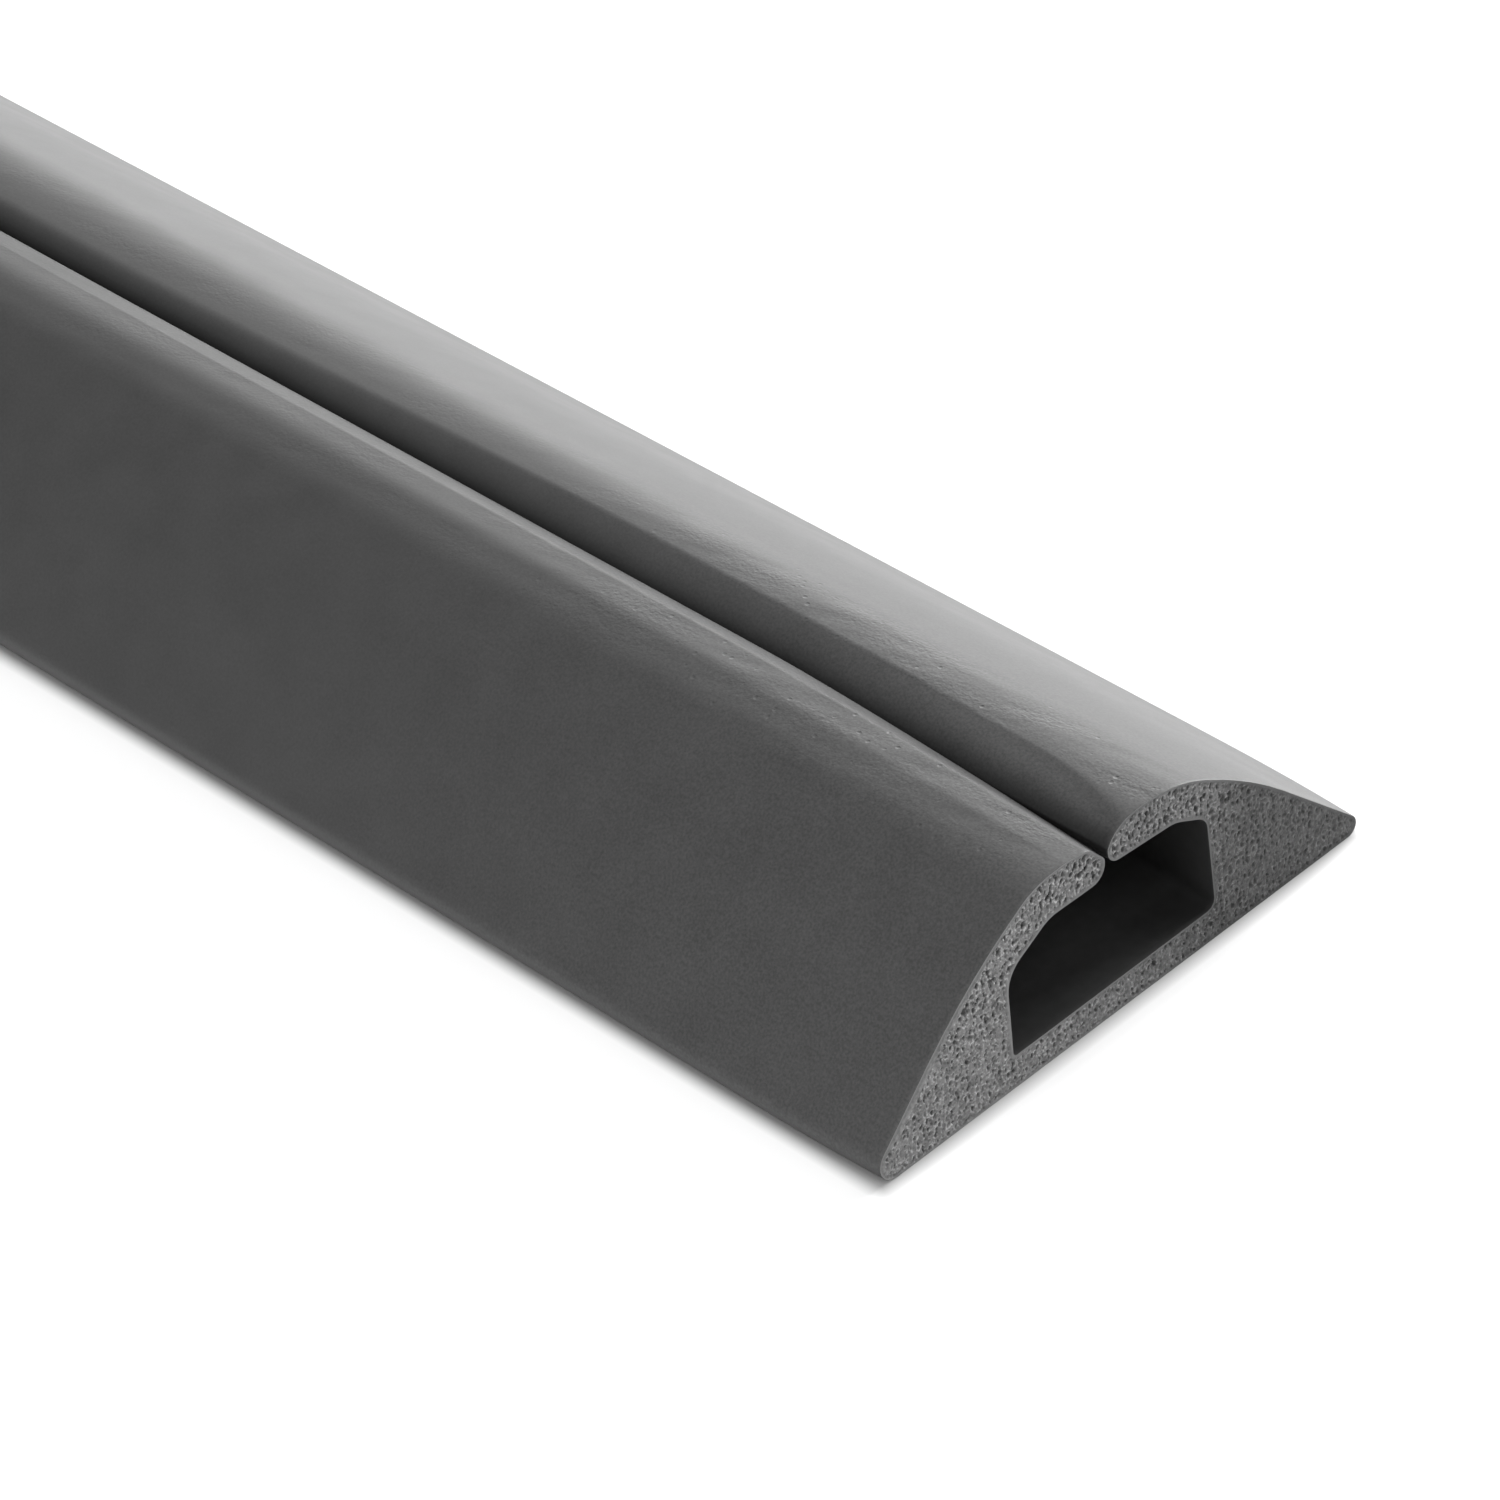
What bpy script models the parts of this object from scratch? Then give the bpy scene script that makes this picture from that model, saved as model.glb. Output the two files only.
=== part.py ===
"""Floor cord cover: one extruded strip of foamed vinyl.

The strip lies flat on the floor. Its section is a low dome with thin ramped toes.
A slit along the crown opens between two lips into a channel that holds the cords.
Metres, +Z up, +X along the strip, origin on the floor under the middle of the strip.
"""

import math

import bpy
from mathutils import Vector

MM = 0.001

# Driving sizes
LENGTH = 1524 * MM
WIDTH = 63.5 * MM
HEIGHT = 21.0 * MM
RAMP_ANGLE = math.radians(44.5)
CHANNEL_WIDTH = 26.0 * MM
FLOOR_THICKNESS = 3.9 * MM
SLIT_GAP = 0.4 * MM

# Heights at which the channel wall, its ceiling and the lip turn
CHANNEL_WALL_TOP = 13.4 * MM
CEILING_HEIGHT = 15.9 * MM
LIP_UNDERSIDE = 16.1 * MM
LIP_FACE_TOP = 18.5 * MM
LIP_BEVEL_TOP = 19.95 * MM

# Distances out from the slit at which the ceiling, the lip, the crown and the shoulder turn
CEILING_BEND = 8.0 * MM
LIP_BEVEL = 1.3 * MM
CREST_INNER = 3.2 * MM
CREST_OUTER = 8.4 * MM
SHOULDER = 18.0 * MM

# Radii of the rounded corners, from the channel floor round to the base
FLOOR_CORNER_RADIUS = 0.6 * MM
WALL_TOP_RADIUS = 2.4 * MM
CEILING_RADIUS = 5.0 * MM
LIP_UNDER_RADIUS = 1.5 * MM
LIP_FACE_RADIUS = 0.6 * MM
LIP_BEVEL_RADIUS = 1.2 * MM
CREST_INNER_RADIUS = 3.0 * MM
CREST_OUTER_RADIUS = 15.0 * MM
SHOULDER_RADIUS = 50.0 * MM
TOE_RADIUS = 1.2 * MM

# How far a rounded corner's straight pieces may stand inside the true arc
ARC_SAG = 0.02 * MM

SKIN_GREY = (0.085, 0.085, 0.087, 1.0)
SKIN_ROUGHNESS = 0.5


def toe_corner():
    """Where the ramp would reach the floor unrounded, so that the round toe ends at half the width."""
    return WIDTH / 2 - TOE_RADIUS + TOE_RADIUS / math.tan(RAMP_ANGLE / 2)


def half_section_corners():
    """(y, z, radius) of each corner from the middle of the channel floor, over the lip, to the base."""
    half_channel = CHANNEL_WIDTH / 2
    half_gap = SLIT_GAP / 2
    shoulder_height = (toe_corner() - SHOULDER) * math.tan(RAMP_ANGLE)
    return [
        (0.0, FLOOR_THICKNESS, 0.0),
        (half_channel, FLOOR_THICKNESS, FLOOR_CORNER_RADIUS),
        (half_channel, CHANNEL_WALL_TOP, WALL_TOP_RADIUS),
        (CEILING_BEND, CEILING_HEIGHT, CEILING_RADIUS),
        (half_gap, LIP_UNDERSIDE, LIP_UNDER_RADIUS),
        (half_gap, LIP_FACE_TOP, LIP_FACE_RADIUS),
        (LIP_BEVEL, LIP_BEVEL_TOP, LIP_BEVEL_RADIUS),
        (CREST_INNER, HEIGHT, CREST_INNER_RADIUS),
        (CREST_OUTER, HEIGHT, CREST_OUTER_RADIUS),
        (SHOULDER, shoulder_height, SHOULDER_RADIUS),
        (toe_corner(), 0.0, TOE_RADIUS),
        (0.0, 0.0, 0.0),
    ]


def rounded(before, corner, after, radius):
    """Points of the arc that rounds a corner and touches both of its straight sides."""
    to_before = (before - corner).normalized()
    to_after = (after - corner).normalized()
    half_opening = to_before.angle(to_after) / 2
    centre = corner + (to_before + to_after).normalized() * (radius / math.sin(half_opening))
    start = corner + to_before * (radius / math.tan(half_opening)) - centre
    turn = math.pi - 2 * half_opening
    steps = math.ceil(turn / (2 * math.acos(1 - ARC_SAG / radius)))
    # A corner to the left of the way in is rounded anticlockwise.
    signed_turn = math.copysign(turn, (corner - before).cross(after - corner))
    points = []
    for step in range(steps + 1):
        cos = math.cos(signed_turn * step / steps)
        sin = math.sin(signed_turn * step / steps)
        points.append(centre + Vector((start.x * cos - start.y * sin, start.x * sin + start.y * cos)))
    return points


def half_section():
    """One half of the section as points, with every corner rounded."""
    corners = half_section_corners()
    places = [Vector((y, z)) for y, z, _ in corners]
    points = []
    for index in range(1, len(corners) - 1):
        radius = corners[index][2]
        points += rounded(places[index - 1], places[index], places[index + 1], radius)
    return points


def section():
    """The whole section, closed: one half and then its mirror image, run the other way."""
    half = half_section()
    return half + [Vector((-point.x, point.y)) for point in reversed(half)]


def skin_material():
    """Dark grey skin of foamed vinyl."""
    material = bpy.data.materials.new("grey_foamed_vinyl")
    material.use_nodes = True
    shader = material.node_tree.nodes["Principled BSDF"]
    shader.inputs["Base Color"].default_value = SKIN_GREY
    shader.inputs["Roughness"].default_value = SKIN_ROUGHNESS
    shader.inputs["Metallic"].default_value = 0.0
    return material


def cord_cover():
    """The section, drawn as a flat curve and extruded half the length each way."""
    outline = bpy.data.curves.new("cord_cover", "CURVE")
    outline.dimensions = "2D"
    outline.fill_mode = "BOTH"
    outline.extrude = LENGTH / 2
    points = section()
    spline = outline.splines.new("POLY")
    spline.points.add(len(points) - 1)
    for spot, point in zip(spline.points, points):
        spot.co = (point.x, point.y, 0.0, 1.0)
    spline.use_cyclic_u = True
    outline.materials.append(skin_material())
    strip = bpy.data.objects.new("cord_cover", outline)
    # The flat curve's own X, Y and Z become the strip's Y, Z and X.
    strip.rotation_euler = (math.pi / 2, 0.0, math.pi / 2)
    return strip


def main():
    for thing in list(bpy.data.objects):
        bpy.data.objects.remove(thing)
    parts = bpy.data.collections.new("floor_cord_cover")
    bpy.context.scene.collection.children.link(parts)
    parts.objects.link(cord_cover())


main()
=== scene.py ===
import math

import bpy
import numpy as np
from mathutils import Matrix, Vector
from mathutils.geometry import delaunay_2d_cdt


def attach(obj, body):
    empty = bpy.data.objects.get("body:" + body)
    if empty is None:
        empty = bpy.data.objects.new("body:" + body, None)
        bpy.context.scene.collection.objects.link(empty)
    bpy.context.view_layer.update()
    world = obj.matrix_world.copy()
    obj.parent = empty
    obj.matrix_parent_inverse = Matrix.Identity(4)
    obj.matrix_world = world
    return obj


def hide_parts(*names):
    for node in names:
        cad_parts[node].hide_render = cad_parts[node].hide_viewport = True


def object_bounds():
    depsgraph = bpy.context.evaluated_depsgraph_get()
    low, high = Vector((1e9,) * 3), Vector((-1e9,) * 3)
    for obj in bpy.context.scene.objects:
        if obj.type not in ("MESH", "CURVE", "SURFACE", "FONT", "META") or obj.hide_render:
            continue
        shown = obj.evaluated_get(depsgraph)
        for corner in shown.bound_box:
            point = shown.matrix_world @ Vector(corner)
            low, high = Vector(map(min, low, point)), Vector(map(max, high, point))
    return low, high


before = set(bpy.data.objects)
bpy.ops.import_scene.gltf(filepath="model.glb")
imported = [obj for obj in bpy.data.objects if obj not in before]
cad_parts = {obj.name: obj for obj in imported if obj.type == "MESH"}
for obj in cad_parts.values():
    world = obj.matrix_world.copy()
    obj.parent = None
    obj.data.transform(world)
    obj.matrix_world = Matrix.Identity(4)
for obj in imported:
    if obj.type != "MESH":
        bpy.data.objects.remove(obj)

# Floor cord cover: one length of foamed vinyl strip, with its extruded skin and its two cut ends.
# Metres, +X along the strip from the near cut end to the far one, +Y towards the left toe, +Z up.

MM = 0.001
cad_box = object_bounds()
NEAR_END = cad_box[0][0]
FAR_END = cad_box[1][0]
SEED = 63

# Camera

# Degrees of turn from +X, of dip below the level and of roll
HEADING, DIP, ROLL = -38.9164, 38.4676, -8.2262
# Millimetres from the foot of the near cut end
CAMERA_PLACE = (-328.787, 304.210, 390.272)
FOCAL_LENGTH, SENSOR_WIDTH = 158.128, 36.0
CLIP_START, CLIP_END = 0.01, 20.0


def photo_camera():
    """A long lens over the near left, looking down the strip, rolled a little."""
    heading, dip, roll = (math.radians(angle) for angle in (HEADING, DIP, ROLL))
    place = Vector(CAMERA_PLACE) * MM + Vector((NEAR_END, 0.0, 0.0))
    ahead = Vector((math.cos(heading) * math.cos(dip), math.sin(heading) * math.cos(dip), -math.sin(dip)))
    right = Vector((math.sin(heading), -math.cos(heading), 0.0))
    up = right.cross(ahead)
    across = right * math.cos(roll) + up * math.sin(roll)
    over = up * math.cos(roll) - right * math.sin(roll)
    lens = bpy.data.cameras.new("photo_camera")
    lens.lens = FOCAL_LENGTH
    lens.sensor_width = SENSOR_WIDTH
    lens.clip_start = CLIP_START
    lens.clip_end = CLIP_END
    camera = bpy.data.objects.new("photo_camera", lens)
    camera.matrix_world = Matrix.Translation(place) @ Matrix((across, over, -ahead)).transposed().to_4x4()
    bpy.context.scene.collection.objects.link(camera)
    bpy.context.scene.camera = camera


photo_camera()

# Section of the strip

# One half of the section as corners, from the channel floor round the lip to the toe.
# Each is (out from the middle, up from the floor, radius) in millimetres.
#   channel floor, channel wall top, ceiling bend, lip underside, lip tip, lip brow, crown ridge, crest,
#   shoulder, toe
BROW, RIDGE, TOE = 5, 6, 9
STOCK_LEFT = [
    (13.00, 3.90, 0.5), (13.10, 13.20, 2.6), (8.20, 15.90, 5.0), (-0.12, 16.30, 1.3), (0.03, 19.75, 0.5),
    (1.90, 20.62, 1.4), (5.15, 20.97, 5.0), (8.90, 20.12, 10.0), (18.40, 15.33, 55.0), (33.98, 0.0, 1.78),
]
STOCK_RIGHT = [
    (12.90, 3.90, 1.0), (12.90, 13.60, 2.0), (8.40, 16.00, 4.0), (0.51, 15.90, 0.95), (0.51, 17.20, 0.75),
    (2.90, 20.05, 6.0), (4.90, 20.78, 1.5), (9.00, 20.55, 12.0), (18.00, 15.18, 50.0), (33.45, 0.0, 1.2),
]
# The same corners on the cut end, where the lips sag and part a little
CUT_LEFT = [
    (14.00, 3.58, 0.35), (13.70, 12.70, 3.5), (8.00, 15.70, 4.0), (0.70, 15.55, 1.8), (0.70, 17.80, 0.8),
    (2.50, 20.00, 1.6), (5.40, 20.44, 3.0), (9.50, 20.32, 9.0), (19.00, 14.72, 60.0), (33.98, 0.0, 2.00),
]
CUT_RIGHT = [
    (12.20, 3.58, 1.0), (12.10, 13.90, 1.8), (8.20, 15.95, 4.0), (-0.30, 16.60, 1.4), (-0.30, 18.40, 0.8),
    (0.40, 19.50, 2.4), (4.30, 20.52, 1.5), (8.65, 20.50, 15.0), (17.80, 15.00, 50.0), (32.82, 0.0, 1.20),
]
# Millimetres from the cut over which the lips sag, the ridge runs in and the toe is drawn in, and the powers
SAG_REACH, SAG_POWER = 42.0, 1.4
RIDGE_REACH, TOE_REACH = 14.0, 20.0
SHORT_POWER = 2.5
# Over its short reach the right ridge runs in towards the slit, and the left one stays at its own corner
CUT_RIDGE_LEFT = CUT_LEFT[RIDGE]
CUT_RIDGE_RIGHT = (2.20, 20.62, 5.0)
# The ridge is a crease up to CREASE_END from the cut, and by ROUND_START it and the brow are at these corners
FAR_RIDGE_LEFT = (5.15, 20.95, 7.0)
FAR_RIDGE_RIGHT = (2.90, 20.10, 3.2)
FAR_BROW_LEFT = (2.30, 20.50, 2.0)
FAR_BROW_RIGHT = (1.80, 19.35, 1.6)
CREASE_END, ROUND_START = 50.0, 150.0

# Pieces in each corner's arc, and in the straight line that leads up to it
ARC_STEPS = (3, 6, 5, 6, 5, 4, 4, 7, 5, 8)
LINE_STEPS = (7, 5, 4, 5, 3, 2, 3, 2, 3, 12)
BASE_STEPS = 15


def unit(v):
    """Vectors of length 1."""
    return v / np.linalg.norm(v, axis=-1, keepdims=True)


def step(low, high, v):
    """Smooth step from 0 at low to 1 at high."""
    t = np.clip((v - low) / (high - low), 0, 1)
    return t * t * (3 - 2 * t)


def falloff(distance, reach, power):
    """1 on the cut, down to 0 at reach: (1 - distance / reach) to a power."""
    return np.clip(1 - distance / reach, 0, 1) ** power


def rounded_outline(corners):
    """Half sections with every corner rounded, for corners of shape (sections, corners, 3).

    Each corner's arc touches the straight lines on both sides of it: its centre lies on the bisector at
    radius / sin(half the opening), and its first point is turned about that centre by the corner's turn.
    The lines start at the middle of the channel floor and end at the middle of the base.
    """
    count = len(corners)
    first = np.stack([np.zeros(count), corners[:, 0, 1]], -1)
    last = np.zeros((count, 2))
    at = np.concatenate([first[:, None], corners[:, :, :2], last[:, None]], 1)
    radius = corners[:, :, 2]
    back = unit(at[:, :-2] - at[:, 1:-1])
    on = unit(at[:, 2:] - at[:, 1:-1])
    half = np.arccos(np.clip((back * on).sum(-1), -1, 1)) / 2
    centre = at[:, 1:-1] + unit(back + on) * (radius / np.sin(half))[..., None]
    arm = at[:, 1:-1] + back * (radius / np.tan(half))[..., None] - centre
    way = np.sign(back[..., 1] * on[..., 0] - back[..., 0] * on[..., 1])
    turn = (math.pi - 2 * half) * way
    points = [first[:, None]]
    for k, (arc, line) in enumerate(zip(ARC_STEPS, LINE_STEPS)):
        angle = turn[:, k, None] * np.linspace(0, 1, arc + 1)
        cos, sin = np.cos(angle), np.sin(angle)
        x, y = arm[:, k, 0, None], arm[:, k, 1, None]
        curve = centre[:, k, None] + np.stack([x * cos - y * sin, x * sin + y * cos], -1)
        share = np.linspace(0, 1, line + 1)[1:-1, None]
        points += [points[-1][:, -1:] * (1 - share) + curve[:, :1] * share, curve]
    share = np.linspace(0, 1, BASE_STEPS + 1)[1:, None]
    points.append(points[-1][:, -1:] * (1 - share) + last[:, None] * share)
    return np.concatenate(points, 1)


def sections(distance):
    """Closed outlines (sections, points, 2) in millimetres at distances from the nearer cut end.

    The stock's corners move towards the cut end's by the sag, and the toe by a falloff of its own. The ridge
    also moves to its place on the cut, and far from the cut the ridge and the brow move to their far places.
    """
    sag = falloff(distance, SAG_REACH, SAG_POWER)[:, None, None]
    ridge_in = falloff(distance, RIDGE_REACH, SHORT_POWER)[:, None]
    toe_in = falloff(distance, TOE_REACH, SHORT_POWER)[:, None]
    rounding = step(CREASE_END, ROUND_START, distance)[:, None]
    halves = []
    sides = (
        (STOCK_LEFT, CUT_LEFT, CUT_RIDGE_LEFT, FAR_RIDGE_LEFT, FAR_BROW_LEFT),
        (STOCK_RIGHT, CUT_RIGHT, CUT_RIDGE_RIGHT, FAR_RIDGE_RIGHT, FAR_BROW_RIGHT),
    )
    for side in sides:
        stock, cut, cut_ridge, far_ridge, far_brow = (np.array(corner) for corner in side)
        corners = stock + sag * (cut - stock)
        corners[:, RIDGE] += ridge_in * (cut_ridge - cut[RIDGE])
        corners[:, RIDGE] += rounding * (far_ridge - stock[RIDGE])
        corners[:, BROW] += rounding * (far_brow - stock[BROW])
        corners[:, TOE] = stock[TOE] + toe_in * (cut[TOE] - stock[TOE])
        halves.append(rounded_outline(corners))
    left, right = halves
    right = right * (-1, 1)
    return np.concatenate([left, right[:, -2:0:-1]], 1)


def outward(outline):
    """Unit normals of closed outlines that run clockwise, from the line between each point's neighbours."""
    along = np.roll(outline, -1, 1) - np.roll(outline, 1, 1)
    return unit(np.stack([-along[..., 1], along[..., 0]], -1))


# The strip's skin, as rings along its length

# Rings by each cut, and then (from, to, step), all in millimetres from that end
NEAR_CUT_RINGS = (0.0, 0.12, 0.5)
NEAR_RINGS = ((1.2, 8, 1.1), (8, 60, 1.9), (60, 186, 3.2))
MIDDLE_START, MIDDLE_STEP = 190, 16.0
FAR_CUT_RINGS = (0.0, 0.12, 0.6)
FAR_RINGS = (2, 60, 3.5)
FAR_STRETCH = 62
# The crown waves inwards by the mean depth and these waves:
# (depth, length along the strip and length across it for a turn of one radian, start in radians)
WAVE_MEAN = 0.05
WAVES = ((0.02, 23, 9, 0.0), (0.018, 11.3, -5, 1.7), (0.012, 6.1, math.inf, 2.2))
# Share of the waves' depth on the flanks
FLANK_SHARE = 0.2
# The first and last ring are drawn in by this much, and any ring this near an end is one of them
RIM_IN = 0.03
AT_CUT = 0.01
# The right lip's tip on the stock, how far it moves over when it sags, and the reach of the painted shade in
# the slit
TIP_OUT, TIP_SAG = 0.51, 0.81
SLIT_REACH, SLIT_REACH_SAG = 2.9, 1.4
# Roughness left on the right lip, and how much is taken off outside the left ridge
SMOOTH_SHARE = 0.12
OUTSIDE_LEFT = 0.2


def ring_distances():
    """Distances of the rings from the near end: closest by the cuts, and widest past the photo's edge."""
    length = (FAR_END - NEAR_END) / MM
    near = np.concatenate([NEAR_CUT_RINGS] + [np.arange(*span) for span in NEAR_RINGS])
    middle = np.arange(MIDDLE_START, length - FAR_STRETCH, MIDDLE_STEP)
    far = length - np.concatenate([FAR_CUT_RINGS, np.arange(*FAR_RINGS)])[::-1]
    return np.concatenate([near, middle, far])


def skin_rings(along):
    """Points (rings, points, 3) in metres of skin, channel and base, with weights for crown and painted slit
    shade.

    The outline is carried along X. The crown waves inwards by up to 0.1 mm and the flanks by a fifth of that,
    as the sum of three sines of the place along and across the strip.
    """
    length = along[-1]
    outline = sections(np.minimum(along, length - along))
    normal = outward(outline)
    y, z = outline[..., 0], outline[..., 1]
    x = along[:, None]
    above_base = step(1.5, 5, z)
    facing_up = step(0.35, 0.8, normal[..., 1])
    over_crown = FLANK_SHARE + (1 - FLANK_SHARE) * step(17, 19.5, z)
    waves = (deep * np.sin(x / ahead + y / aside + start) for deep, ahead, aside, start in WAVES)
    wave = sum(waves, WAVE_MEAN)
    rim = np.where((along < AT_CUT) | (along > length - AT_CUT), RIM_IN, 0.0)[:, None]
    outline = outline - normal * (wave * (above_base * facing_up * over_crown) + rim)[..., None]
    outline[..., 1] = np.maximum(outline[..., 1], 0.0)
    points = np.concatenate([np.broadcast_to(x, y.shape)[..., None], outline], -1) * MM
    points[..., 0] += NEAR_END
    sag = falloff(np.minimum(x, length - x), SAG_REACH, SAG_POWER)
    return points, crown_weight(y, z), slit_shade_weight(y, z, sag)


def slit_shade_weight(y, z, sag):
    """Painted shade weight: how far the right lip's skin is down into the slit, 0 out on the lip to 1 at its
    tip.

    It starts 2.9 mm out from the tip, and only 1.5 mm out where the lips sag at the cut.
    """
    tip = TIP_SAG * sag - TIP_OUT
    start = tip - SLIT_REACH + SLIT_REACH_SAG * sag
    above_channel = step(15.0, 16.0, z)
    before_gap = 1 - step(tip + 0.1, tip + 0.3, y)
    return above_channel * step(start, tip - 0.4, y) * before_gap


def crown_weight(y, z):
    """How rough the skin is: full over the left lip and outside the right ridge, little on the right lip.

    It is none low in the slit, on the flanks and inside, and a little weaker outside the left ridge.
    """
    left = step(0.4, 1.8, y) * (1 - OUTSIDE_LEFT * step(4.0, 5.2, y))
    right = step(3.6, 5.2, -y - 0.3)
    rough = SMOOTH_SHARE + (1 - SMOOTH_SHARE) * np.maximum(left, right)
    return step(17.2, 19.2, z) * rough * (1 - step(8.2, 12.5, np.abs(y + 0.3)))


# The cut ends

# Steps of the lattices in millimetres
NEAR_PITCH = 0.12
FAR_PITCH = 0.26
# Rows of even triangles stand this share of a step apart
ROW_SHARE = 0.866
# Lattice points nearer the rim than this share of a step are left out
RIM_SHARE = 0.55
# Points nearer than this are one point, and a triangle with less than this area twice over is left out
SAME_POINT = 1e-7
NO_AREA = 1e-12
# Foam cells: (pitch, least and most radius, least and most depth, share that is open, least and most squash)
BIG_CELLS = (1.15, (0.24, 0.46), (0.15, 0.42), 0.75, (1.0, 2.0))
MIDDLE_CELLS = (0.76, (0.19, 0.35), (0.10, 0.28), 0.95, (1.1, 2.0))
FINE_CELLS = (0.48, (0.11, 0.19), (0.05, 0.16), 0.85, (1.0, 1.7))
DIMPLES = (1.25, (0.34, 0.58), (0.08, 0.22), 0.9, (1.3, 2.4))
# Where a cell's centre may lie in its square, and the mean and spread of its lean in radians
CELL_ROOM = (0.22, 0.78)
CELL_LEAN = (0.25, 0.35)
# Radii from a cell's centre to the crest of its wall's painted highlight, and the wall's width in radii
WALL_AT, WALL_WIDTH = 1.2, 0.25
# How much stronger a shallow cell's painted shade shows than its depth alone gives
CELL_SHADE_GAIN = 1.5
# Least roughness between the cells, and the most that chance adds to it, in millimetres
FOAM_ROUGH, FOAM_ROUGH_MORE = 0.02, 0.01


def inside(points, outline):
    """Whether each point is inside the closed outline.

    It is where a line straight up from the point crosses an odd number of the outline's sides.
    """
    a, b = outline, np.roll(outline, -1, 0)
    y, z = points[:, :1], points[:, 1:]
    spans = (a[:, 0] > y) != (b[:, 0] > y)
    width = np.where(a[:, 0] == b[:, 0], 1.0, b[:, 0] - a[:, 0])
    height = a[:, 1] + (y - a[:, 0]) * (b[:, 1] - a[:, 1]) / width
    return (spans & (height > z)).sum(1) % 2 == 1


def rim_distance(points, outline):
    """Each point's distance to the nearest side of the closed outline."""
    side = np.roll(outline, -1, 0) - outline
    away = points[:, None] - outline
    share = np.clip((away * side).sum(-1) / (side ** 2).sum(-1), 0, 1)
    return np.linalg.norm(away - share[..., None] * side, axis=-1).min(1)


def cells(points, kind, random):
    """Each point's depth in a cut foam cell, its place in it from 0 outside to 1 in the middle, and its walls.

    One cell centre lies in each square of a grid, moved about in it. A cell is a round cup squashed to an
    ellipse, depth * sqrt(1 - q * q) at q radii from its centre, and the deepest cup at a point counts.
    A wall is the ring just outside a cup, exp(-((q - WALL_AT) / WALL_WIDTH) squared). The place in a cell
    weighs its painted shade, and the wall weighs a painted highlight.
    """
    pitch, size, depth, share, stretch = kind
    low = points.min(0) - 3 * pitch
    count = np.ceil((points.max(0) + 3 * pitch - low) / pitch).astype(int)
    moved = random.uniform(*CELL_ROOM, (*count, 2))
    radius = random.uniform(*size, count)
    deep = random.uniform(*depth, count) * (random.random(count) < share)
    lean = random.normal(*CELL_LEAN, count)
    squash = random.uniform(*stretch, count)
    home = np.floor((points - low) / pitch).astype(int)
    best, core, wall = np.zeros((3, len(points)))
    for i in (-1, 0, 1):
        for j in (-1, 0, 1):
            u = np.clip(home[:, 0] + i, 0, count[0] - 1)
            v = np.clip(home[:, 1] + j, 0, count[1] - 1)
            away = points - low - (np.stack([u, v], -1) + moved[u, v]) * pitch
            cos, sin = np.cos(lean[u, v]), np.sin(lean[u, v])
            wide = (away[:, 0] * cos + away[:, 1] * sin) / radius[u, v] * squash[u, v]
            tall = (away[:, 1] * cos - away[:, 0] * sin) / radius[u, v]
            q = np.hypot(wide, tall)
            cup = np.sqrt(np.clip(1 - q * q, 0, 1))
            best = np.maximum(best, deep[u, v] * cup)
            core = np.maximum(core, cup * np.minimum(deep[u, v] / depth[1] * CELL_SHADE_GAIN, 1))
            ring = np.exp(-((q - WALL_AT) / WALL_WIDTH) ** 2)
            wall = np.maximum(wall, np.where(deep[u, v] > 0, ring, 0))
    return best, core, wall


def foam_relief(points, rim, random):
    """Depth in millimetres below the cut, cell place (for painted shade) and cell wall (for painted highlight)
    of each point of a cut end.

    Big cells lie under the crown and in the upper left flank, fine ones everywhere over wide shallow dimples.
    There are none in the skin at the rim, which is thickest along the left flank. The relief is a little
    lower in the right toe.
    """
    y, z = points.T
    open_cells = step(8, 15, z + 0.12 * y)
    big, big_core, big_wall = cells(points, BIG_CELLS, random)
    middle, middle_core, middle_wall = cells(points, MIDDLE_CELLS, random)
    fine, fine_core, fine_wall = cells(points, FINE_CELLS, random)
    dimple = cells(points, DIMPLES, random)[0]
    often = 0.15 + 0.85 * open_cells
    quiet = 0.85 + 0.15 * open_cells
    depth = np.maximum.reduce([big * often, middle * quiet, fine * quiet]) + dimple * (1 - 0.5 * open_cells)
    core = np.maximum.reduce([big_core * often, middle_core * quiet, 0.5 * fine_core * quiet])
    wall = np.maximum.reduce([big_wall * often, middle_wall * quiet, 0.4 * fine_wall * quiet]) * (1 - core)
    skin = 0.04 + 0.12 * step(0.3, 1, z) + 0.55 * step(12, 20, y) * step(1, 5, z)
    coarse = np.maximum(step(-20, -13, y), step(12, 15, z))
    share = step(skin, skin + 0.3, rim) * (0.78 + 0.22 * coarse)
    rough = FOAM_ROUGH + FOAM_ROUGH_MORE * random.random(len(points))
    return depth * share + rough * share, core * share, wall * share


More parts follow.
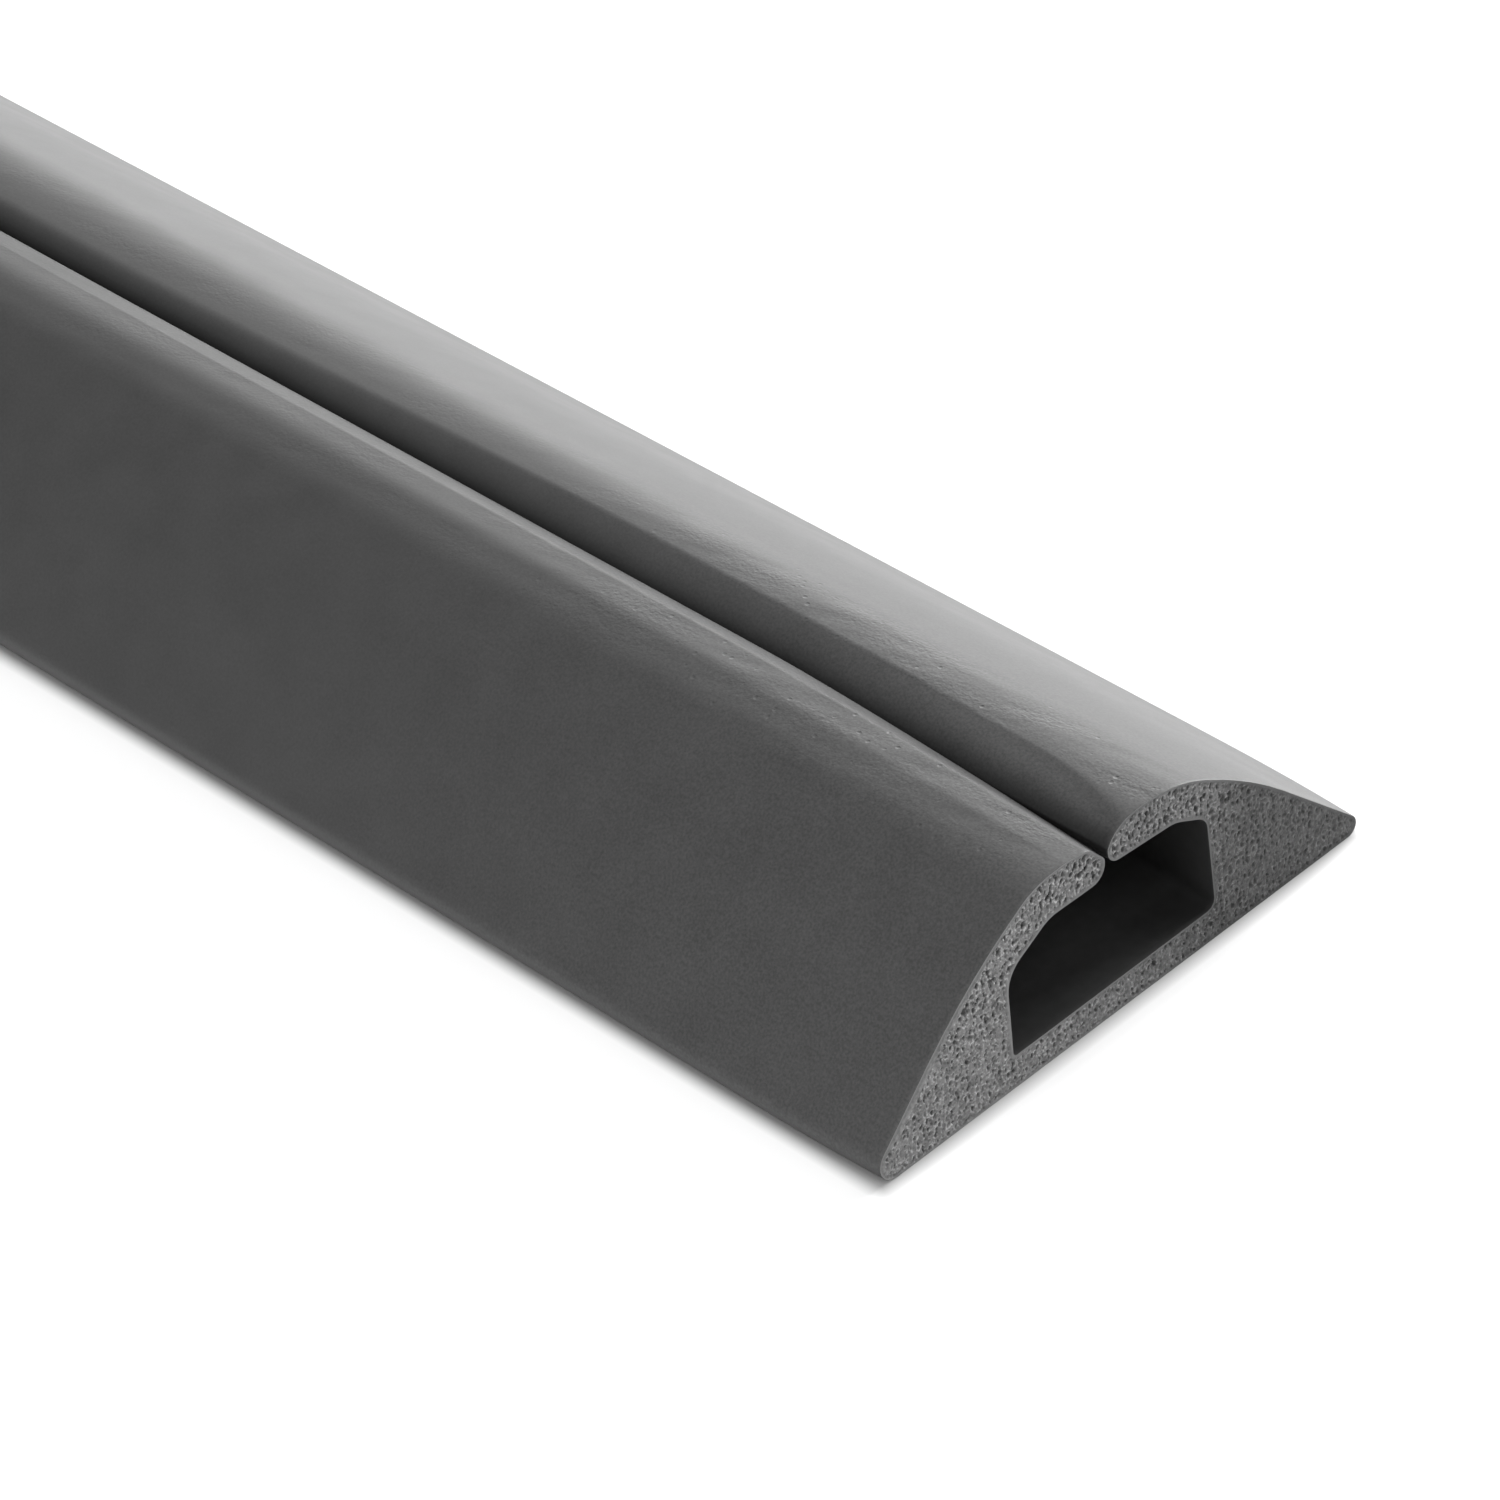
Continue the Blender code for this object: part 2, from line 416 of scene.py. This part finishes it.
def cut_end(outline, pitch, random):
    """Lattice points on a cut end, their distances to the rim, and the triangles that fill the outline.

    Every other row of the lattice is moved by half a step, and every point by up to a seventh of a step.
    Triangles are numbered with the outline's points first.
    """
    low, high = outline.min(0), outline.max(0)
    columns = np.arange(low[0], high[0], pitch)
    rows = np.arange(low[1], high[1], pitch * ROW_SHARE)
    y, z = np.meshgrid(columns, rows)
    y = y + (np.arange(len(rows)) % 2)[:, None] * pitch / 2
    lattice = np.stack([y.ravel(), z.ravel()], -1)
    lattice += random.uniform(-pitch / 7, pitch / 7, lattice.shape)
    lattice = lattice[inside(lattice, outline)]
    rim = rim_distance(lattice, outline)
    clear = rim > pitch * RIM_SHARE
    lattice, rim = lattice[clear], rim[clear]
    every = np.concatenate([outline, lattice])
    sides = [(k, (k + 1) % len(outline)) for k in range(len(outline))]
    found = delaunay_2d_cdt([Vector(p) for p in every.tolist()], sides, [], 0, SAME_POINT)
    order = np.array([own[0] for own in found[3]])
    triangles = order[np.array(found[2])]
    middle = every[triangles].mean(1)
    triangles = triangles[inside(middle, outline)]
    a, b, c = (every[triangles[:, k]] for k in range(3))
    turn = (b - a)[:, 0] * (c - a)[:, 1] - (b - a)[:, 1] * (c - a)[:, 0]
    triangles[turn < 0] = triangles[turn < 0][:, ::-1]
    return lattice, rim, triangles[np.abs(turn) > NO_AREA]


# Mesh

SKIN_SLOT, CUT_SLOT, CHANNEL_SLOT = 0, 1, 2
# Points of a half outline up to the middle of the lip's tip arc belong to the channel
CHANNEL_POINTS = sum(ARC_STEPS[:4]) + sum(LINE_STEPS[:4]) + 4
# Millimetres in from the rim over which the foam's even skin gives way to its heart
HEART_START, HEART_FULL = 0.1, 0.5


def quads_between(rings, points):
    """Faces between neighbouring rings of a closed outline, four corners each, facing out."""
    ring = np.arange(rings - 1)[:, None] * points
    here = np.arange(points)[None]
    on = (here + 1) % points
    corners = [ring + here, ring + points + here, ring + points + on, ring + on]
    return np.stack(np.broadcast_arrays(*corners), -1).reshape(-1, 4)


def make_mesh(name, points, quads, triangles, slots, rims):
    """A mesh object from whole arrays of points, four-sided faces and triangles, with a material slot each.

    Shading is smooth, apart from the edges whose two points both lie in one of the rims' ranges of numbers.
    """
    mesh = bpy.data.meshes.new(name)
    sizes = np.concatenate([np.full(len(quads), 4), np.full(len(triangles), 3)])
    corners = np.concatenate([quads.ravel(), triangles.ravel()])
    mesh.vertices.add(len(points))
    mesh.vertices.foreach_set("co", points.astype(np.float32).ravel())
    mesh.loops.add(len(corners))
    mesh.loops.foreach_set("vertex_index", corners.astype(np.int32))
    mesh.polygons.add(len(sizes))
    mesh.polygons.foreach_set("loop_start", (np.cumsum(sizes) - sizes).astype(np.int32))
    mesh.polygons.foreach_set("material_index", slots.astype(np.int32))
    mesh.polygons.foreach_set("use_smooth", np.ones(len(sizes), bool))
    mesh.update(calc_edges=True)
    ends = np.empty(2 * len(mesh.edges), np.int32)
    mesh.edges.foreach_get("vertices", ends)
    ends = ends.reshape(-1, 2)
    sharp = [((ends >= low) & (ends < high)).all(1) for low, high in rims]
    mesh.edges.foreach_set("use_edge_sharp", np.logical_or(*sharp))
    piece = bpy.data.objects.new(name, mesh)
    bpy.context.scene.collection.objects.link(piece)
    return piece


def foam_strip():
    """The whole length of strip as one closed mesh: rings of skin, and a cut end of open cells at each end.

    Each point also has five weights for the materials: the rough crown, the painted shade in the slit, the
    painted shade in a foam cell, the painted highlight on the cell's wall, and the heart of the foam inside
    its even rim.
    """
    random = np.random.default_rng(SEED)
    along = ring_distances()
    rings, crown, slit = skin_rings(along)
    count = rings.shape[1]
    points = [rings.reshape(-1, 3)]
    weights = {"crown": [crown.ravel()], "slit": [slit.ravel()]}
    for name in ("cup", "wall", "heart"):
        weights[name] = [np.zeros(crown.size)]
    triangles = []
    used = len(points[0])
    ends = ((0, NEAR_END, 1, NEAR_PITCH), ((len(along) - 1) * count, FAR_END, -1, FAR_PITCH))
    for first, place, inwards, pitch in ends:
        outline = points[0][first:first + count, 1:] / MM
        lattice, rim, faces = cut_end(outline, pitch, random)
        depth, cup, wall = foam_relief(lattice, rim, random)
        points.append(np.concatenate([(place + inwards * depth * MM)[:, None], lattice * MM], 1))
        numbers = np.concatenate([first + np.arange(count), used + np.arange(len(lattice))])
        faces = numbers[faces]
        triangles.append(faces[:, ::-1] if inwards > 0 else faces)
        weights["crown"].append(np.zeros(len(lattice)))
        weights["slit"].append(np.zeros(len(lattice)))
        weights["cup"].append(cup)
        weights["wall"].append(wall)
        weights["heart"].append(step(HEART_START, HEART_FULL, rim))
        used += len(lattice)
    quads = quads_between(len(along), count)
    around = np.tile(np.arange(count), len(along) - 1)
    hollow = (around < CHANNEL_POINTS) | (around > count - CHANNEL_POINTS)
    triangles = np.concatenate(triangles)
    slots = np.concatenate([np.where(hollow, CHANNEL_SLOT, SKIN_SLOT), np.full(len(triangles), CUT_SLOT)])
    rims = [(first, first + count) for first, *_ in ends]
    piece = make_mesh("foamed_vinyl_strip", np.concatenate(points), quads, triangles, slots, rims)
    for name, values in weights.items():
        layer = piece.data.attributes.new(name, "FLOAT", "POINT")
        layer.data.foreach_set("value", np.concatenate(values).astype(np.float32))
    return piece


# Shader nodes


def blank(name):
    """A new material and its shader."""
    material = bpy.data.materials.new(name)
    material.use_nodes = True
    return material, material.node_tree.nodes["Principled BSDF"]


def put(material, made, socket, value):
    """Link another node's output to a socket, or set a plain value on it."""
    target = made.inputs[socket]
    if isinstance(value, bpy.types.NodeSocket):
        material.node_tree.links.new(value, target)
    else:
        target.default_value = value


def node(material, kind, **inputs):
    """A shader node with its sockets filled. An underscore in a socket's name stands for a space."""
    made = material.node_tree.nodes.new(kind)
    for name, value in inputs.items():
        put(material, made, name.replace("_", " "), value)
    return made


def weight(material, name):
    """One of the weights that foam_strip puts on the points."""
    made = node(material, "ShaderNodeAttribute")
    made.attribute_name = name
    return made.outputs["Fac"]


def place_on_piece(material, stretch=(1.0, 1.0, 1.0), turn=0.0):
    """The piece's own coordinates in metres, turned about Z and then stretched along each axis."""
    where = node(material, "ShaderNodeTexCoord").outputs["Object"]
    turned = node(material, "ShaderNodeMapping", Vector=where, Rotation=(0.0, 0.0, turn)).outputs["Vector"]
    return node(material, "ShaderNodeMapping", Vector=turned, Scale=stretch).outputs["Vector"]


def noise(material, vector, scale, detail):
    """Noise from 0 to 1 with scale blobs to the metre."""
    return node(material, "ShaderNodeTexNoise", Vector=vector, Scale=scale, Detail=detail).outputs["Fac"]


def maths(material, operation, a, b=0.0):
    """One sum, product or the like of two numbers."""
    made = node(material, "ShaderNodeMath")
    made.operation = operation
    put(material, made, 0, a)
    put(material, made, 1, b)
    return made.outputs[0]


def times(material, *values):
    """The product of all the values."""
    product = values[0]
    for value in values[1:]:
        product = maths(material, "MULTIPLY", product, value)
    return product


def spread(material, value, low, high, to_low, to_high):
    """The range from low to high carried over to the range from to_low to to_high, and held outside it."""
    made = node(material, "ShaderNodeMapRange", Value=value)
    made.clamp = True
    for name, number in (("From Min", low), ("From Max", high), ("To Min", to_low), ("To Max", to_high)):
        put(material, made, name, number)
    return made.outputs["Result"]


def grey(material, value):
    """A grey of the value."""
    return node(material, "ShaderNodeCombineColor", Red=value, Green=value, Blue=value).outputs["Color"]


def bump(material, height, distance, strength=1.0, under=None):
    """A normal from a height times the distance in metres, on top of the normal under it."""
    made = node(material, "ShaderNodeBump", Height=height, Distance=distance, Strength=strength)
    if under is not None:
        put(material, made, "Normal", under)
    return made.outputs["Normal"]


def distance_from_cut(material, along):
    """Metres from the nearer cut end, for a place along X."""
    return maths(material, "SUBTRACT", FAR_END, maths(material, "ABSOLUTE", along))


# Materials

# Noise is (blobs to the metre, detail), and every rise is in millimetres.
SPECKLE, SPECKLE_RISE = (3600.0, 2.0), 0.04
CLOUD = (190.0, 3.0)
SKIN_TONE = (0.030, 0.055)
SKIN_ROUGHNESS = (0.47, 0.51)
# Share of the tone left by the painted shade at the toes' undersides and in the slit
TOE_SHADE_SHARE, SLIT_SHADE_SHARE = 0.35, 0.35
# The marks are dragged out along this angle to the strip
DRAG_TURN = math.radians(-12.0)
# Marks over the crown: (scale along the drag against across it, blobs to the metre, detail, rise)
SWEEPS = (0.36, 330.0, 1.0, 0.22)
DRAG_MARKS = (0.6, 1400.0, 3.0, 0.068)
PIMPLES = (0.8, 2700.0, 1.0, 0.06)
PATCHES = (240.0, 2.0)
DENTS_PER_METRE, DENT_RISE = 540.0, -0.12
# The foam: grey of its rim and of the darkest painted shade in its cells, its noise, and how rough it is
RIM_TONE, DARKEST = 0.165, 0.018
FOAM_FLECK, FOAM_PATCH = (2900.0, 2.0), (700.0, 2.0)
FOAM_STROKES, STROKE_RISE, STROKE_STRETCH = (1900.0, 2.0), 0.25, (1.0, 1.0, 0.55)
FOAM_GRAIN, FOAM_GRAIN_RISE = (2700.0, 2.0), 0.12
FOAM_ROUGHNESS = 0.8
# The channel: its noise, the range of its grey (the skin darkened as painted shade) and how rough it is
CHANNEL_NOISE, CHANNEL_SHADE_TONE, CHANNEL_ROUGHNESS = (900.0, 3.0), (0.018, 0.024), 0.55
CHANNEL_GRAIN, CHANNEL_RISE = (2600.0, 3.0), 0.04
# How much painted light the channel floor gains further in, and how much painted shade darkens its right
# corner on the cut
CHANNEL_SHADING_SHIFT = 0.55


def dragged(material, marks, strength, under):
    """One layer of marks dragged out along DRAG_TURN, its height times a strength from 0 to 1."""
    scale_along, scale, detail, rise = marks
    where = place_on_piece(material, (scale_along, 1.0, 1.0), DRAG_TURN)
    height = maths(material, "SUBTRACT", noise(material, where, scale, detail), 0.5)
    return bump(material, times(material, height, strength), rise * MM, 1.0, under)


def vinyl_skin():
    """Semi-matt dark grey skin: fine speckle, and over the crown soft drag marks, pimples and small dents.

    The marks run along the strip and a little across it. They and the speckle fade away from the cuts, as in
    the photo. Painted shade darkens the skin down the right lip into the slit, and round the toes.
    """
    m, shader = blank("vinyl_skin")
    where = place_on_piece(m)
    axes = node(m, "ShaderNodeSeparateXYZ", Vector=where).outputs
    from_cut = distance_from_cut(m, axes["X"])
    fade = spread(m, from_cut, 25 * MM, 85 * MM, 1.0, 0.35)
    speckle = times(m, maths(m, "SUBTRACT", noise(m, where, *SPECKLE), 0.5), fade)
    cloud = noise(m, where, *CLOUD)
    clouding = spread(m, cloud, 0.3, 0.7, -0.002, 0.002)
    tone = maths(m, "ADD", spread(m, speckle, -0.2, 0.2, *SKIN_TONE), clouding)
    # Painted shade: the skin darkens round the toes' undersides and down the right lip into the slit
    toe = spread(m, axes["Z"], 0.6 * MM, 2.2 * MM, TOE_SHADE_SHARE, 1.0)
    slit = spread(m, weight(m, "slit"), 0.0, 1.0, 1.0, SLIT_SHADE_SHARE)
    put(m, shader, "Base Color", grey(m, times(m, tone, times(m, toe, slit))))
    put(m, shader, "Roughness", spread(m, cloud, 0.3, 0.7, *SKIN_ROUGHNESS))
    crown = times(m, weight(m, "crown"), fade)
    patches = noise(m, place_on_piece(m, (SWEEPS[0], 1.0, 1.0), DRAG_TURN), *PATCHES)
    patchy = times(m, crown, spread(m, patches, 0.38, 0.62, 0.15, 1.0))
    normal = bump(m, speckle, SPECKLE_RISE * MM, 0.3)
    normal = dragged(m, SWEEPS, crown, normal)
    normal = dragged(m, DRAG_MARKS, patchy, normal)
    normal = dragged(m, PIMPLES, patchy, normal)
    spot = node(m, "ShaderNodeTexVoronoi", Vector=where, Scale=DENTS_PER_METRE).outputs["Distance"]
    near_cut = times(m, crown, spread(m, from_cut, 30 * MM, 90 * MM, 1.0, 0.0))
    dent = times(m, spread(m, spot, 0.05, 0.15, 1.0, 0.0), near_cut)
    put(m, shader, "Normal", bump(m, dent, DENT_RISE * MM, 0.6, normal))
    return m


def cut_foam():
    """Open cells: grey walls with light flecks and a painted highlight, painted shade in the cells, and even
    at the rim.

    Painted light and shade make the foam duller to the right of a line that leans out with height and lighter
    towards the left, and painted light makes it lighter at the base.
    """
    m, shader = blank("cut_foam")
    where = place_on_piece(m)
    cup, wall, heart = (weight(m, name) for name in ("cup", "wall", "heart"))
    fleck = noise(m, where, *FOAM_FLECK)
    patch = spread(m, noise(m, where, *FOAM_PATCH), 0.3, 0.7, -0.03, 0.03)
    grit = maths(m, "ADD", patch, spread(m, fleck, 0.35, 0.72, -0.03, 0.045))
    foam = maths(m, "ADD", RIM_TONE, times(m, maths(m, "SUBTRACT", grit, 0.01), heart))
    # Painted highlight on the cell walls
    lit = maths(m, "ADD", foam, times(m, wall, spread(m, fleck, 0.42, 0.66, 0.02, 0.30)))
    # Painted shade in the cells
    dark = spread(m, cup, 0.1, 0.85, 0.0, 0.12)
    tone = maths(m, "MAXIMUM", maths(m, "SUBTRACT", lit, dark), DARKEST)
    axes = node(m, "ShaderNodeSeparateXYZ", Vector=where).outputs
    # Painted light and shade across the cut face: darker to the right, lighter towards the left
    above_middle = maths(m, "SUBTRACT", axes["Z"], 10.0 * MM)
    leaning = maths(m, "ADD", axes["Y"], times(m, above_middle, 0.5))
    right = spread(m, leaning, -16.0 * MM, -9.0 * MM, 0.39, 0.71)
    left = spread(m, axes["Y"], -3.0 * MM, 12.0 * MM, 0.0, 0.29)
    # Painted light: lighter at the base
    low = spread(m, axes["Z"], 0.0, 2.0 * MM, 1.35, 1.0)
    share = times(m, maths(m, "ADD", right, left), low)
    put(m, shader, "Base Color", grey(m, times(m, tone, share)))
    put(m, shader, "Roughness", FOAM_ROUGHNESS)
    strokes = noise(m, place_on_piece(m, STROKE_STRETCH), *FOAM_STROKES)
    normal = bump(m, times(m, strokes, heart), STROKE_RISE * MM)
    grain = noise(m, where, *FOAM_GRAIN)
    put(m, shader, "Normal", bump(m, times(m, grain, heart), FOAM_GRAIN_RISE * MM, 1.0, normal))
    return m


def channel_skin():
    """The channel's smooth dark skin, darkened further as painted shade in the hollow.

    Painted shade makes its floor duller in the right corner on the cut, and painted light makes it lighter
    further in.
    """
    m, shader = blank("channel_skin")
    where = place_on_piece(m)
    axes = node(m, "ShaderNodeSeparateXYZ", Vector=where).outputs
    # Painted light further in and painted shade in the right corner on the cut, on the channel floor only
    deep = spread(m, distance_from_cut(m, axes["X"]), 1.2 * MM, 5.2 * MM, 0.0, 1.0)
    left = spread(m, axes["Y"], -10.0 * MM, -3.0 * MM, 0.0, 1.0)
    lighter = times(m, deep, left, CHANNEL_SHADING_SHIFT)
    duller = times(m, maths(m, "SUBTRACT", maths(m, "MAXIMUM", deep, left), 1.0), CHANNEL_SHADING_SHIFT)
    on_floor = spread(m, axes["Z"], 4.1 * MM, 5.1 * MM, 1.0, 0.0)
    share = maths(m, "ADD", 1.0, times(m, on_floor, maths(m, "ADD", lighter, duller)))
    # The skin's dark grey, darkened further as painted shade in the hollow
    tone = spread(m, noise(m, where, *CHANNEL_NOISE), 0.3, 0.7, *CHANNEL_SHADE_TONE)
    put(m, shader, "Base Color", grey(m, times(m, tone, share)))
    put(m, shader, "Roughness", CHANNEL_ROUGHNESS)
    put(m, shader, "Normal", bump(m, noise(m, where, *CHANNEL_GRAIN), CHANNEL_RISE * MM, 0.3))
    return m


# Floor

FLOOR_SIZE = 12.0
FLOOR_ROUGHNESS = 0.9
# The round toes overhang the floor, so the painted shadow starts inside the strip's width
CONTACT = (-30.0 * MM, 31.0 * MM)
# Floor grey, and the grey and reach of the soft shadow painted on it round the strip
FLOOR_TONE = 0.97
PAINTED_SHADOW_TONE = 0.50
SHADOW_REACH = 1.65 * MM


def pale_floor():
    """Even pale grey, with a soft shadow painted within SHADOW_REACH of where the strip touches down."""
    m, shader = blank("pale_floor")
    axes = node(m, "ShaderNodeSeparateXYZ", Vector=place_on_piece(m)).outputs
    beyond = []
    for axis, low, high in (("X", NEAR_END, FAR_END), ("Y", *CONTACT)):
        from_middle = maths(m, "ABSOLUTE", maths(m, "SUBTRACT", axes[axis], (low + high) / 2))
        beyond.append(maths(m, "MAXIMUM", maths(m, "SUBTRACT", from_middle, (high - low) / 2), 0.0))
    away = maths(m, "SQRT", maths(m, "ADD", *(times(m, side, side) for side in beyond)))
    # Painted shadow: the grey darkens towards where the strip touches down
    put(m, shader, "Base Color", grey(m, spread(m, away, 0.0, SHADOW_REACH, PAINTED_SHADOW_TONE, FLOOR_TONE)))
    put(m, shader, "Roughness", FLOOR_ROUGHNESS)
    return m


def floor():
    """A wide pale floor under the strip, bright enough to read as white."""
    bpy.ops.mesh.primitive_plane_add(size=FLOOR_SIZE, location=(0.0, 0.0, 0.0))
    ground = bpy.context.object
    ground.name = "pale_floor"
    ground.data.materials.append(pale_floor())


# Light

WORLD_STRENGTH = 0.09
# The soft boxes face the strip this far along it from the near cut end
LIT_PLACE = 0.1
# Each soft box: name, (along from the near cut end, across, up) and width in metres, and power in watts
SOFT_LIGHTS = (
    ("over_light", (0.1, 0.0, 1.8), 1.4, 16.8),
    ("right_light", (0.1, -1.7, 0.5), 1.0, 62.0),
    ("back_low_light", (1.5, -1.2, 0.4), 1.0, 5.3),
    ("back_high_light", (1.2, -1.0, 1.1), 1.4, 8.2),
    ("back_edge_light", (1.3, -1.5, 0.25), 0.5, 3.8),
    ("left_light", (0.1, 1.6, 0.9), 1.2, 15.4),
    ("front_light", (-1.2, 0.3, 1.2), 1.2, 11.5),
)


def soft_light(name, place, target, size, power):
    """A square soft box at place, facing target, in metres and watts."""
    lamp = bpy.data.lights.new(name, "AREA")
    lamp.size = size
    lamp.energy = power
    box = bpy.data.objects.new(name, lamp)
    towards = Vector(target) - Vector(place)
    box.matrix_world = Matrix.Translation(place) @ towards.to_track_quat("-Z", "Y").to_matrix().to_4x4()
    bpy.context.scene.collection.objects.link(box)


def studio():
    """Faint white surroundings, with soft boxes over the strip, on both sides, behind it and in front."""
    world = bpy.data.worlds.new("studio")
    world.use_nodes = True
    background = world.node_tree.nodes["Background"]
    background.inputs["Color"].default_value = (1.0, 1.0, 1.0, 1.0)
    background.inputs["Strength"].default_value = WORLD_STRENGTH
    bpy.context.scene.world = world
    target = (NEAR_END + LIT_PLACE, 0.0, 0.0)
    for name, (x, y, z), size, power in SOFT_LIGHTS:
        soft_light(name, (NEAR_END + x, y, z), target, size, power)
    bpy.context.scene.view_settings.view_transform = "Standard"
    bpy.context.scene.view_settings.look = "None"


# The scene

strip = foam_strip()
for material in (vinyl_skin(), cut_foam(), channel_skin()):
    strip.data.materials.append(material)
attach(strip, "root")
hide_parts("cord_cover")
floor()
studio()
